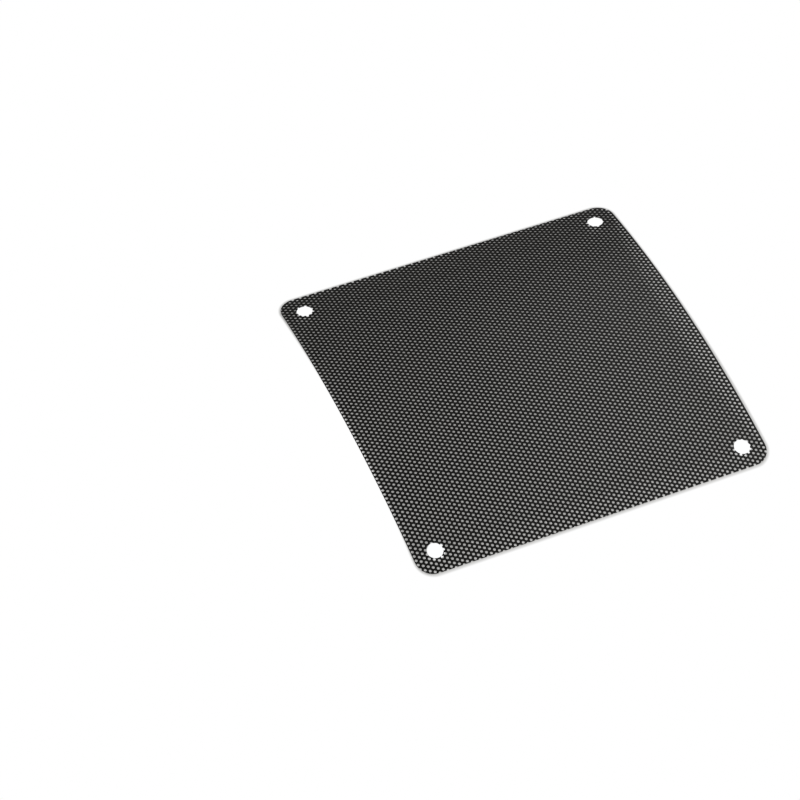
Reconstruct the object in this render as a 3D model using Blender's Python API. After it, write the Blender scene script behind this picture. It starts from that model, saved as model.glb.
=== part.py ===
"""Dust filter for a 120 mm fan: one die-cut sheet of thin perforated PVC.

The sheet was rolled after punching, so lying free it keeps a slight bow and rests on its front and
back edges. Metres, +Z up. The origin is on the table under the middle of the sheet, X runs along
the front edge and Y runs to the back, in the direction in which the sheet curls.
"""

import math

import bmesh
import bpy
from mathutils import Vector

# Screw holes at the corners, on the pattern of a 120 mm fan
SCREW_SPACING = 0.105
SCREW_HOLE_DIAMETER = 0.0052
SCREW_HEAD_DIAMETER = 0.010

# The die-cut outline, a square 119.6 mm wide
EDGE_TO_SCREW = 0.0073
CORNER_RADIUS = 0.006
THICKNESS = 0.0003

# The punched perforation: round holes in staggered columns that run from front to back
PERFORATION_DIAMETER = 0.001
PERFORATION_WEB = 0.0005

# The real sheet has some seven thousand perforations. Each opening here stands for a group of them,
# on the same staggered layout and with the same share of open area.
PERFORATIONS_PER_OPENING = 5
EDGE_MARGIN = 0.001

# The bow that the rolled stock keeps
BOW_RADIUS = 0.272
BOW_STRIPS = 7

# Sides of the polygons that stand for round shapes
CORNER_SEGMENTS = 6
SCREW_HOLE_SIDES = 24
OPENING_SIDES = 6

COLOUR = (0.012, 0.012, 0.013, 1.0)
ROUGHNESS = 0.55

WELD_DISTANCE = 0.000002

SIDE = SCREW_SPACING + 2 * EDGE_TO_SCREW
HALF_SIDE = SIDE / 2
HALF_SCREW_SPACING = SCREW_SPACING / 2
OPENING_PITCH = (PERFORATION_DIAMETER + PERFORATION_WEB) * PERFORATIONS_PER_OPENING
OPENING_AREA = math.pi / 4 * (PERFORATION_DIAMETER * PERFORATIONS_PER_OPENING) ** 2
OPENING_RADIUS = math.sqrt(2 * OPENING_AREA / (OPENING_SIDES * math.sin(math.tau / OPENING_SIDES)))
OPENING_APOTHEM = OPENING_RADIUS * math.cos(math.pi / OPENING_SIDES)


def remove_scene_objects():
    for item in list(bpy.data.objects):
        bpy.data.objects.remove(item, do_unlink=True)


def new_collection(name):
    collection = bpy.data.collections.new(name)
    bpy.context.scene.collection.children.link(collection)
    return collection


def polygon(centre_x, centre_y, radius, sides):
    """Corners of a regular polygon with its first corner on +X."""
    angles = [math.tau * side / sides for side in range(sides)]
    return [(centre_x + radius * math.cos(a), centre_y + radius * math.sin(a)) for a in angles]


def rounded_square():
    """The sheet's outline, counterclockwise, each corner an arc."""
    points = []
    inset = HALF_SIDE - CORNER_RADIUS
    corner_signs = [(1, 1), (-1, 1), (-1, -1), (1, -1)]
    for quarter, (sign_x, sign_y) in enumerate(corner_signs):
        for segment in range(CORNER_SEGMENTS + 1):
            angle = math.pi / 2 * (quarter + segment / CORNER_SEGMENTS)
            x = sign_x * inset + CORNER_RADIUS * math.cos(angle)
            y = sign_y * inset + CORNER_RADIUS * math.sin(angle)
            points.append((x, y))
    return points


def screw_centres():
    return [(x, y) for x in (-HALF_SCREW_SPACING, HALF_SCREW_SPACING)
            for y in (-HALF_SCREW_SPACING, HALF_SCREW_SPACING)]


def clear_of_screws(x, y):
    """True where an opening leaves the land under each screw head whole."""
    nearest = min(math.dist((x, y), centre) for centre in screw_centres())
    return nearest > SCREW_HEAD_DIAMETER / 2 + OPENING_RADIUS


def opening_centres():
    """Centres of the openings: as many staggered columns and rows as the sheet has room for."""
    column_step = OPENING_PITCH * math.sqrt(3) / 2
    room_across = SIDE - 2 * (OPENING_RADIUS + EDGE_MARGIN)
    room_along = SIDE - 2 * (OPENING_APOTHEM + EDGE_MARGIN)
    columns = int(room_across / column_step) + 1
    full_rows = int(room_along / OPENING_PITCH) + 1
    centres = []
    for column in range(columns):
        x = (column - (columns - 1) / 2) * column_step
        rows = full_rows - column % 2
        for row in range(rows):
            y = (row - (rows - 1) / 2) * OPENING_PITCH
            if clear_of_screws(x, y):
                centres.append((x, y))
    return centres


def bend_lines():
    """Where the flat sheet is creased into strips, from the front edge to the back edge.

    The first and the last strip are twice as wide as the screws are far from the edge, so that each
    screw head bears on one flat strip.
    """
    end_strip = 2 * EDGE_TO_SCREW
    bowed_length = SIDE - 2 * end_strip
    inner = [bowed_length * (line / BOW_STRIPS - 0.5) for line in range(BOW_STRIPS + 1)]
    return [-HALF_SIDE] + inner + [HALF_SIDE]


def bowed_strips():
    """For each strip its flat start, and in the bow its start point and its unit direction."""
    lines = bend_lines()
    lengths = [after - before for before, after in zip(lines, lines[1:])]
    middles = [(before + after) / 2 for before, after in zip(lines, lines[1:])]
    directions = []
    for middle in middles:
        slope = -middle / BOW_RADIUS
        directions.append(Vector((0, math.cos(slope), math.sin(slope))))
    starts = [Vector((0, 0, 0))]
    for direction, length in zip(directions, lengths):
        starts.append(starts[-1] + direction * length)
    half_chord = starts[-1] / 2
    return lines, [start - half_chord for start in starts], directions


def upward_normal(direction):
    return Vector((0, -direction.z, direction.y))


def place_in_bow(point, lines, starts, directions):
    """Moves one point of the flat sheet into the bow; a crease is mitred, so each strip is flat."""
    strip = 0
    while strip < len(directions) - 1 and point.y > lines[strip + 1] - WELD_DISTANCE:
        strip += 1
    normal = upward_normal(directions[strip])
    on_crease = strip > 0 and abs(point.y - lines[strip]) < WELD_DISTANCE
    if on_crease:
        normal_before = upward_normal(directions[strip - 1])
        mitre = (normal_before + normal) / (1 + normal_before.dot(normal))
        placed = starts[strip] + mitre * point.z
    else:
        placed = starts[strip] + directions[strip] * (point.y - lines[strip]) + normal * point.z
    return Vector((point.x, placed.y, placed.z))


def flat_outline_mesh(name, outlines, thickness):
    """A closed flat plate from a filled 2D curve: the first outline is its rim, the others are holes."""
    curve = bpy.data.curves.new(name + "_outline", "CURVE")
    curve.dimensions = "2D"
    curve.fill_mode = "BOTH"
    curve.extrude = thickness / 2
    for outline in outlines:
        spline = curve.splines.new("POLY")
        spline.points.add(len(outline) - 1)
        for spline_point, (x, y) in zip(spline.points, outline):
            spline_point.co = (x, y, 0, 1)
        spline.use_cyclic_u = True
    flat = bpy.data.objects.new(name + "_outline", curve)
    bpy.context.scene.collection.objects.link(flat)
    evaluated = flat.evaluated_get(bpy.context.evaluated_depsgraph_get())
    mesh = bpy.data.meshes.new_from_object(evaluated)
    mesh.transform(flat.matrix_world)
    bpy.data.objects.remove(flat, do_unlink=True)
    bpy.data.curves.remove(curve)
    return mesh


def perforated_mesh(name):
    """The flat die-cut sheet, creased along the bend lines and set in its bow."""
    outlines = [rounded_square()]
    outlines += [polygon(x, y, SCREW_HOLE_DIAMETER / 2, SCREW_HOLE_SIDES) for x, y in screw_centres()]
    outlines += [polygon(x, y, OPENING_RADIUS, OPENING_SIDES) for x, y in opening_centres()]
    mesh = flat_outline_mesh(name, outlines, THICKNESS)

    sheet = bmesh.new()
    sheet.from_mesh(mesh)
    bmesh.ops.remove_doubles(sheet, verts=sheet.verts, dist=WELD_DISTANCE)
    for line in bend_lines()[1:-1]:
        geometry = sheet.verts[:] + sheet.edges[:] + sheet.faces[:]
        bmesh.ops.bisect_plane(sheet, geom=geometry, dist=WELD_DISTANCE,
                               plane_co=(0, line, 0), plane_no=(0, 1, 0))
    bmesh.ops.triangulate(sheet, faces=sheet.faces)

    lines, starts, directions = bowed_strips()
    for vertex in sheet.verts:
        vertex.co = place_in_bow(vertex.co, lines, starts, directions)
    lowest = min(vertex.co.z for vertex in sheet.verts)
    bmesh.ops.translate(sheet, verts=sheet.verts, vec=(0, 0, -lowest))
    bmesh.ops.recalc_face_normals(sheet, faces=sheet.faces)
    sheet.to_mesh(mesh)
    sheet.free()
    return mesh


def pvc_material():
    material = bpy.data.materials.new("black_pvc")
    material.use_nodes = True
    shader = material.node_tree.nodes["Principled BSDF"]
    shader.inputs["Base Color"].default_value = COLOUR
    shader.inputs["Roughness"].default_value = ROUGHNESS
    shader.inputs["Metallic"].default_value = 0.0
    return material


def build():
    remove_scene_objects()
    parts = new_collection("fan_dust_filter")
    sheet = bpy.data.objects.new("filter_sheet", perforated_mesh("filter_sheet"))
    sheet.data.materials.clear()
    sheet.data.materials.append(pvc_material())
    parts.objects.link(sheet)


build()
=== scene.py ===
import math

import bmesh
import bpy
from mathutils import Euler, Matrix, Quaternion, Vector


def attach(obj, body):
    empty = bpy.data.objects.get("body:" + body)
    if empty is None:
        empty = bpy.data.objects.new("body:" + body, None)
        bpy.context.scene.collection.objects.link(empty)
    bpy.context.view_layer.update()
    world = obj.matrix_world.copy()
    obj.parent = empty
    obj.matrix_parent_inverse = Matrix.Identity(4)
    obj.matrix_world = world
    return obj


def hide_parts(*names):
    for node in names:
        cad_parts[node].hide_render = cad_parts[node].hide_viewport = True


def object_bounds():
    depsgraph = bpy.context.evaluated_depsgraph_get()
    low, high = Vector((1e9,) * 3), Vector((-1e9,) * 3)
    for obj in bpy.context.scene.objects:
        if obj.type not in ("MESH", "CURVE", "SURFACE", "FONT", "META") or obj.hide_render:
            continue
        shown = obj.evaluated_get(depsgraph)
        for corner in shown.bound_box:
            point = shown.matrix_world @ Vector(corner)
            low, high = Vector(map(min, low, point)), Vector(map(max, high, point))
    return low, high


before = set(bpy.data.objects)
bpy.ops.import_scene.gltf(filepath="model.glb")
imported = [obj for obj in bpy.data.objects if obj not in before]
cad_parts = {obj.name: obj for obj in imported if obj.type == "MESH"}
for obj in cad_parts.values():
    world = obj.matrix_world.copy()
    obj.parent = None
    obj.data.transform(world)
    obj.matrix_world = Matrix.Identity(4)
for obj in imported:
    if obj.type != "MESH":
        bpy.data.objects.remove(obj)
solid_low, solid_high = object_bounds()

# The filter sheet
# One piece of black calendered PVC, 0.3 mm thick. It is punched all over with round holes in
# staggered columns, then die-cut to a rounded square with four screw holes, so the cut runs through
# whatever perforations it meets. Rolled stock, it lies in a slight bow on its front and back edges.
side = solid_high.x - solid_low.x
thickness = 0.0003
screw_spacing = 0.105
screw_hole_radius = 0.0026
corner_radius = 0.0057

# The perforation runs in columns from front to back. The outer columns stand a fixed share of a
# pitch inside the side edges, and the rows run slightly off the square of the die.
punch_columns = 90
open_share = 0.335
left_margin_pitches = 0.41
right_margin_pitches = 0.60
front_margin_pitches = 0.12
row_slant = 0.0047

# The holes lie at the corners of equilateral triangles, so the columns stand closer together than
# the pitch. Each hole is cut as a hexagon that opens its share of the sheet.
stagger = math.cos(math.radians(30))
column_step = side / (punch_columns - 1 + (left_margin_pitches + right_margin_pitches) / stagger)
punch_pitch = column_step / stagger
first_column_x = -side / 2 + left_margin_pitches * punch_pitch
first_row_y = -side / 2 + front_margin_pitches * punch_pitch
punch_rows = math.ceil(side / punch_pitch) + 2
hole_corner_radius = punch_pitch * math.sqrt(open_share / 3)
cut_tolerance = 1e-7
wall_on_map = 0.00025


def with_its_rim(faces):
    """Faces with their edges and vertices, each once and in a fixed order, as a cut takes them."""
    edges = [edge for face in faces for edge in face.edges]
    vertices = [vertex for face in faces for vertex in face.verts]
    return list(dict.fromkeys([*faces, *edges, *vertices]))


def punched_stock():
    """A flat web of equilateral triangles with a hexagonal hole punched out at each crossing."""
    stock = bmesh.new()
    bmesh.ops.create_grid(stock, x_segments=punch_columns + 1, y_segments=punch_rows + 1, size=0.5)
    for vertex in stock.verts:
        column = round((vertex.co.x + 0.5) * (punch_columns + 1)) - 1
        row = round((vertex.co.y + 0.5) * (punch_rows + 1)) - 1
        vertex.co.x = first_column_x + column * column_step
        slanted = row_slant * (side / 2 - vertex.co.x)
        staggered = (column + 1) % 2 / 2
        vertex.co.y = first_row_y + (row - staggered) * punch_pitch + slanted
    bmesh.ops.triangulate(stock, faces=stock.faces, quad_method="SHORT_EDGE")
    inner = [vertex for vertex in stock.verts if not vertex.is_boundary]
    punched = bmesh.ops.bevel(stock, geom=inner, offset=hole_corner_radius, offset_type="OFFSET",
                              segments=1, profile=0.5, affect="VERTICES", material=-1)
    bmesh.ops.delete(stock, geom=punched["faces"], context="FACES_ONLY")
    return stock


def trim(sheet, faces, place, outward):
    """Cuts off what lies past a straight stretch of the die."""
    bmesh.ops.bisect_plane(sheet, geom=with_its_rim(faces), dist=cut_tolerance,
                           plane_co=place, plane_no=outward, clear_outer=True)


def die_cut_outline(sheet):
    """Four straight sides, then each corner as a run of short chords."""
    half = side / 2
    for outward in (Vector((1, 0, 0)), Vector((-1, 0, 0)), Vector((0, 1, 0)), Vector((0, -1, 0))):
        trim(sheet, sheet.faces[:], outward * half, outward)
    chords = 8
    chord_depth = corner_radius * math.cos(math.pi / 4 / chords)
    corner_reach = corner_radius * 1.6
    inset = half - corner_radius
    for turn in range(4):
        centre = Vector((inset, inset, 0))
        centre.rotate(Euler((0, 0, math.pi / 2 * turn)))
        for chord in range(chords):
            outward = Vector((1, 0, 0))
            outward.rotate(Euler((0, 0, math.pi / 2 * (turn + (chord + 0.5) / chords))))
            near = [face for face in sheet.faces
                    if (face.calc_center_median() - centre).length < corner_reach]
            trim(sheet, near, centre + outward * chord_depth, outward)


def die_cut_screw_hole(sheet, centre):
    """Cuts a circle round the centre side by side, then drops what is left inside it."""
    sides = 20
    quarter = sides // 4
    inside = [face for face in sheet.faces
              if (face.calc_center_median() - centre).length < screw_hole_radius + punch_pitch]
    for step in range(sides):
        angle = math.tau * (step % 4 * quarter + step // 4) / sides
        outward = Vector((math.cos(angle), math.sin(angle), 0))
        place = centre + outward * screw_hole_radius
        cut = bmesh.ops.bisect_plane(sheet, geom=with_its_rim(inside), dist=cut_tolerance,
                                     plane_co=place, plane_no=outward)
        inside = [part for part in cut["geom"] if isinstance(part, bmesh.types.BMFace)
                  and (part.calc_center_median() - place).dot(outward) < 0]
    bmesh.ops.delete(sheet, geom=inside, context="FACES_ONLY")


def drop_loose_wire(sheet):
    """Removes edges and points that no face holds any more."""
    wires = [edge for edge in sheet.edges if not edge.link_faces]
    bmesh.ops.delete(sheet, geom=wires, context="EDGES")
    points = [vertex for vertex in sheet.verts if not vertex.link_faces]
    bmesh.ops.delete(sheet, geom=points, context="VERTS")


def lay_out_map(sheet):
    """Fills the map with the two faces, the top one in its upper half and the underside in its lower
    half. The walls of a hole lie inside the hole, and those of the outline just outside it.
    """
    spread = side + 4 * wall_on_map
    layer = sheet.loops.layers.uv.new("OFBake")
    for vertex in sheet.verts:
        walls = [face for face in vertex.link_faces if face.material_index == 1]
        off_rim = sum((wall.normal for wall in walls), Vector()).normalized() * wall_on_map
        for loop in vertex.link_loops:
            is_wall = loop.face.material_index == 1
            is_under = loop.face.normal.z < -0.5
            place = vertex.co + off_rim if is_wall and vertex.co.z < thickness / 2 else vertex.co
            half = 0.0 if is_under else 0.5
            loop[layer].uv = (place.x / spread + 0.5, half + (place.y / spread + 0.5) / 2)


def bow(sheet):
    """Rolls the flat sheet along Y, so that it meets the table along its front and back edges."""
    chord = solid_high.y - solid_low.y
    rise = solid_high.z - solid_low.z - thickness
    radius = (chord ** 2 / 4 + rise ** 2) / (2 * rise)
    for vertex in sheet.verts:
        angle = vertex.co.y / radius
        reach = radius + vertex.co.z - thickness
        vertex.co.y = reach * math.sin(angle)
        vertex.co.z = reach * math.cos(angle)
    lowest = min(vertex.co.z for vertex in sheet.verts)
    bmesh.ops.translate(sheet, verts=sheet.verts, vec=(0, 0, -lowest))


def finished_sheet():
    sheet = punched_stock()
    die_cut_outline(sheet)
    for x in (-screw_spacing / 2, screw_spacing / 2):
        for y in (-screw_spacing / 2, screw_spacing / 2):
            die_cut_screw_hole(sheet, Vector((x, y, 0)))
    drop_loose_wire(sheet)
    lifted = bmesh.ops.extrude_face_region(sheet, geom=sheet.faces[:], use_keep_orig=True)
    top = [part for part in lifted["geom"] if isinstance(part, bmesh.types.BMVert)]
    bmesh.ops.translate(sheet, verts=top, vec=(0, 0, thickness))
    bmesh.ops.recalc_face_normals(sheet, faces=sheet.faces)
    for face in sheet.faces:
        face.material_index = 0 if abs(face.normal.z) > 0.5 else 1
        face.smooth = True
    lay_out_map(sheet)
    bow(sheet)
    mesh = bpy.data.meshes.new("perforated_sheet")
    sheet.to_mesh(mesh)
    sheet.free()
    mesh.set_sharp_from_angle(angle=math.radians(30))
    return mesh


perforated_sheet = bpy.data.objects.new("perforated_sheet", finished_sheet())
bpy.context.scene.collection.objects.link(perforated_sheet)


class Value:
    """A number or a vector on its way through a material's nodes; arithmetic adds Math nodes."""

    def __init__(self, material, socket):
        self.material = material
        self.socket = socket

    def combined(self, operation, first, second):
        node = self.material.node("ShaderNodeMath", {"operation": operation}, [first, second])
        return node[0]

    def __add__(self, other):
        return self.combined("ADD", self, other)

    def __mul__(self, other):
        return self.combined("MULTIPLY", self, other)

    def __sub__(self, other):
        return self.combined("SUBTRACT", self, other)

    def __rsub__(self, other):
        return self.combined("SUBTRACT", other, self)

    __radd__ = __add__
    __rmul__ = __mul__


class Finish:
    """The nodes of a material, or of the surround, round its one shader."""

    def __init__(self, made, shader="Principled BSDF"):
        self.made = made
        self.made.use_nodes = True
        self.tree = self.made.node_tree
        self.shader = self.tree.nodes[shader]

    def node(self, kind, settings=None, inputs=None):
        """Adds a node: its settings first, then each input by place or by name. Gives its outputs."""
        added = self.tree.nodes.new(kind)
        for name, value in (settings or {}).items():
            setattr(added, name, value)
        pairs = inputs.items() if isinstance(inputs, dict) else enumerate(inputs or [])
        for key, value in pairs:
            self.feed(added.inputs[key], value)
        return [Value(self, output) for output in added.outputs]

    def feed(self, socket, value):
        if isinstance(value, Value):
            self.tree.links.new(value.socket, socket)
        else:
            socket.default_value = value

    def set(self, **inputs):
        """Feeds the shader's inputs, named with underscores for spaces."""
        for name, value in inputs.items():
            self.feed(self.shader.inputs[name.replace("_", " ")], value)


def noise(finish, place, size, detail=2.0, roughness=0.5):
    """Soft noise from 0 to 1 with features about size metres wide."""
    return finish.node("ShaderNodeTexNoise", {}, {
        "Vector": place, "Scale": 1 / size, "Detail": detail, "Roughness": roughness})[0]


def remapped(finish, value, low, high, to_low=0.0, to_high=1.0):
    """A straight ramp between two values, level past both."""
    return finish.node("ShaderNodeMapRange", {"clamp": True}, {
        "Value": value, "From Min": low, "From Max": high, "To Min": to_low, "To Max": to_high})[0]


def blended(finish, share, first, second):
    """A mix of two colours."""
    node = finish.node("ShaderNodeMix", {"data_type": "RGBA"}, {0: share, 6: first, 7: second})
    return node[2]


grain_depth = 0.00002


def calendered_pvc():
    """The faces: near-black film with the fine pebble of the calender rolls and a faint haze."""
    finish = Finish(bpy.data.materials.new("calendered_pvc"))
    deep = (0.0014, 0.0012, 0.0009, 1.0)
    worn = (0.0040, 0.0036, 0.0027, 1.0)
    dust = (0.024, 0.024, 0.024, 1.0)
    place = finish.node("ShaderNodeTexCoord")[3]
    haze = noise(finish, place, size=0.018, detail=4.0, roughness=0.6)
    pebble = noise(finish, place, size=0.00016, detail=3.0, roughness=0.6)
    lint = noise(finish, place, size=0.0006, detail=1.0)
    wear = remapped(finish, haze + pebble * 0.4, low=0.4, high=1.0)
    speck = remapped(finish, lint, low=0.78, high=0.86)
    colour = blended(finish, speck, blended(finish, wear, deep, worn), dust)
    rough = remapped(finish, haze + pebble * 0.25, low=0.35, high=0.95, to_low=0.28, to_high=0.38)
    grain = finish.node("ShaderNodeBump", {}, {
        "Strength": 0.35, "Distance": grain_depth, "Height": pebble})[0]
    finish.set(Base_Color=colour, Roughness=rough, Normal=grain, IOR=1.5, Specular_IOR_Level=0.05)
    return finish.made


def cut_pvc():
    """The walls of the holes and the rim: the same film where the punch and the die sheared it."""
    finish = Finish(bpy.data.materials.new("cut_pvc"))
    deep = (0.003, 0.003, 0.003, 1.0)
    torn = (0.011, 0.011, 0.010, 1.0)
    place = finish.node("ShaderNodeTexCoord")[3]
    tear = noise(finish, place, size=0.00009)
    colour = blended(finish, tear, deep, torn)
    rough = remapped(finish, tear, low=0.3, high=0.7, to_low=0.60, to_high=0.78)
    grain = finish.node("ShaderNodeBump", {}, {
        "Strength": 0.5, "Distance": grain_depth, "Height": tear})[0]
    finish.set(Base_Color=colour, Roughness=rough, Normal=grain, IOR=1.5, Specular_IOR_Level=0.1)
    return finish.made


perforated_sheet.data.materials.append(calendered_pvc())
perforated_sheet.data.materials.append(cut_pvc())
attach(perforated_sheet, "root")
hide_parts("filter_sheet")

# The floor
# White card that glows white where nothing is over it. Under the sheet it shows a painted grey
# shadow mixed with the lamps' real shade, the grey seen through the holes. Its back is clear, so
# that the underside can be looked at.
floor_radius = 4.0
floor_sides = 64
floor_white = (0.97, 0.97, 0.965, 1.0)
black = (0.0, 0.0, 0.0, 1.0)
white = (1.0, 1.0, 1.0, 1.0)

# The painted shadow deepens to the back. It leans away from the left lamp by a share of the height
# of the sheet over it, and painted light spots lie in it under the four screw holes. A set share of
# it is painted grey, and the lamps' real shade gives the rest.
painted_shadow_at_front = (0.47, 0.465, 0.45, 1.0)
painted_shadow_at_back = (0.27, 0.265, 0.255, 1.0)
painted_shadow_share = 0.6
painted_shadow_lean_x = 0.47
painted_shadow_lean_y = 0.70
painted_shadow_blur = 0.0012
painted_light_spot_radius = 0.0028
painted_light_spot_blur = 0.00015

disc = bmesh.new()
bmesh.ops.create_circle(disc, cap_ends=True, segments=floor_sides, radius=floor_radius)
floor = bpy.data.objects.new("floor", bpy.data.meshes.new("floor"))
disc.to_mesh(floor.data)
disc.free()
bpy.context.scene.collection.objects.link(floor)


def stepped(finish, value, low, high):
    """A smooth step from 0 to 1."""
    return finish.node("ShaderNodeMapRange", {"interpolation_type": "SMOOTHSTEP"}, {
        "Value": value, "From Min": low, "From Max": high})[0]


def looked_at(finish):
    """1 where the camera sees a thing, straight or in gloss or through glass, and 0 for its light."""
    rays = finish.node("ShaderNodeLightPath")
    return 1 - (1 - rays[0]) * (1 - rays[3]) * (1 - rays[6])


def on_vectors(finish, operation, *inputs):
    """Vector maths: its vector, and its number where the operation gives one."""
    return finish.node("ShaderNodeVectorMath", {"operation": operation}, inputs)


def part_of_sheet_above(finish, x, y):
    """The place on the sheet whose painted shadow falls on a place on the floor, folded into the back
    right quarter.
    """
    height = solid_high.z * (1 - y * y * (1 / solid_high.y ** 2))
    shading = finish.node("ShaderNodeCombineXYZ", {}, [
        x - height * painted_shadow_lean_x, y - height * painted_shadow_lean_y])[0]
    return on_vectors(finish, "ABSOLUTE", shading)[0]


def card_with_painted_shadow():
    """The card: white, with painted shadow under the sheet and painted light under its screw holes.
    """
    finish = Finish(bpy.data.materials.new("card_with_painted_shadow"))
    place = finish.node("ShaderNodeTexCoord")[3]
    x, y = finish.node("ShaderNodeSeparateXYZ", {}, [place])[:2]
    above = part_of_sheet_above(finish, x, y)
    corner_centre = (solid_high.x - corner_radius, solid_high.y - corner_radius, 0)
    screw_centre = (screw_spacing / 2, screw_spacing / 2, 0)
    past_corner = on_vectors(finish, "SUBTRACT", above, corner_centre)[0]
    past_corner = on_vectors(finish, "MAXIMUM", past_corner, (0, 0, 0))[0]
    from_corner = on_vectors(finish, "LENGTH", past_corner)[1]
    from_screw = on_vectors(finish, "DISTANCE", above, screw_centre)[1]
    off_sheet = stepped(finish, from_corner, corner_radius, corner_radius + painted_shadow_blur)
    # Painted light: a white spot on the card under each screw hole, cut into the painted shadow.
    off_painted_light_spot = stepped(finish, from_screw, painted_light_spot_radius - painted_light_spot_blur, painted_light_spot_radius + painted_light_spot_blur)
    clear_of_painted_shadow = 1 - (1 - off_sheet) * off_painted_light_spot
    # The painted shadow's grey, deeper to the back.
    to_back = remapped(finish, y, solid_low.y, solid_high.y)
    painted_shadow = blended(finish, to_back, painted_shadow_at_front, painted_shadow_at_back)
    # Where the camera looks, part of the card's colour is painted: plain white off the sheet, painted
    # shadow under it.
    painted_share = looked_at(finish) * (clear_of_painted_shadow * (1 - painted_shadow_share) + painted_shadow_share)
    white_and_painted_shadow = blended(finish, clear_of_painted_shadow, painted_shadow, white)
    behind = finish.node("ShaderNodeNewGeometry")[6]
    finish.set(Base_Color=blended(finish, painted_share, floor_white, black),
               Emission_Color=blended(finish, painted_share, black, white_and_painted_shadow),
               Emission_Strength=1.0, Roughness=1.0, Specular_IOR_Level=0.0, Alpha=1 - behind)
    return finish.made


floor.data.materials.append(card_with_painted_shadow())

# The light
# A surround that looks full white and lights the sheet with a quarter of that, a square softbox
# high at the front left, and a long one high at the right, whose sheen grows to the right edge.
surround_light = 0.25

world = bpy.data.worlds.new("surround")
bpy.context.scene.world = world
surround = Finish(world, "Background")
surround.set(Color=white, Strength=looked_at(surround) * (1 - surround_light) + surround_light)


def soft_lamp(name, place, length, width, roll, power):
    """A softbox that faces the sheet, with its length rolled from the level by so many degrees."""
    lamp = bpy.data.objects.new(name, bpy.data.lights.new(name, "AREA"))
    lamp.data.shape = "RECTANGLE"
    lamp.data.size = length
    lamp.data.size_y = width
    lamp.data.energy = power
    turned = (-place).to_track_quat("-Z", "Y") @ Quaternion((0, 0, 1), math.radians(roll))
    lamp.matrix_world = Matrix.Translation(place) @ turned.to_matrix().to_4x4()
    bpy.context.scene.collection.objects.link(lamp)


soft_lamp("left_lamp", Vector((-0.45, -0.66, 1.05)), length=0.8, width=0.8, roll=0, power=7.6)
soft_lamp("right_lamp", Vector((0.52, 0.38, 0.90)), length=1.1, width=0.26, roll=-46, power=6.2)

# The camera
# A long lens above the front left, turned slightly about its own axis.
camera_aim = Vector((-0.0382, 0.00724, 0.0))
camera_distance = 0.8497
camera_heading = math.radians(24.915)
camera_dip = math.radians(50.354)
camera_roll = math.radians(1.919)
frame_side_pixels = 800
focal_pixels = 2683.4

camera = bpy.data.objects.new("camera", bpy.data.cameras.new("camera"))
camera.data.sensor_width = 36.0
camera.data.lens = focal_pixels / frame_side_pixels * camera.data.sensor_width
camera.data.clip_start = 0.01
camera.data.clip_end = 20.0
level = math.cos(camera_dip)
forward = Vector((level * math.sin(camera_heading), level * math.cos(camera_heading),
                  -math.sin(camera_dip)))
turned = forward.to_track_quat("-Z", "Y") @ Quaternion((0, 0, 1), camera_roll)
stand = Matrix.Translation(camera_aim - forward * camera_distance)
camera.matrix_world = stand @ turned.to_matrix().to_4x4()
bpy.context.scene.collection.objects.link(camera)
bpy.context.scene.camera = camera

bpy.context.scene.view_settings.view_transform = "Standard"
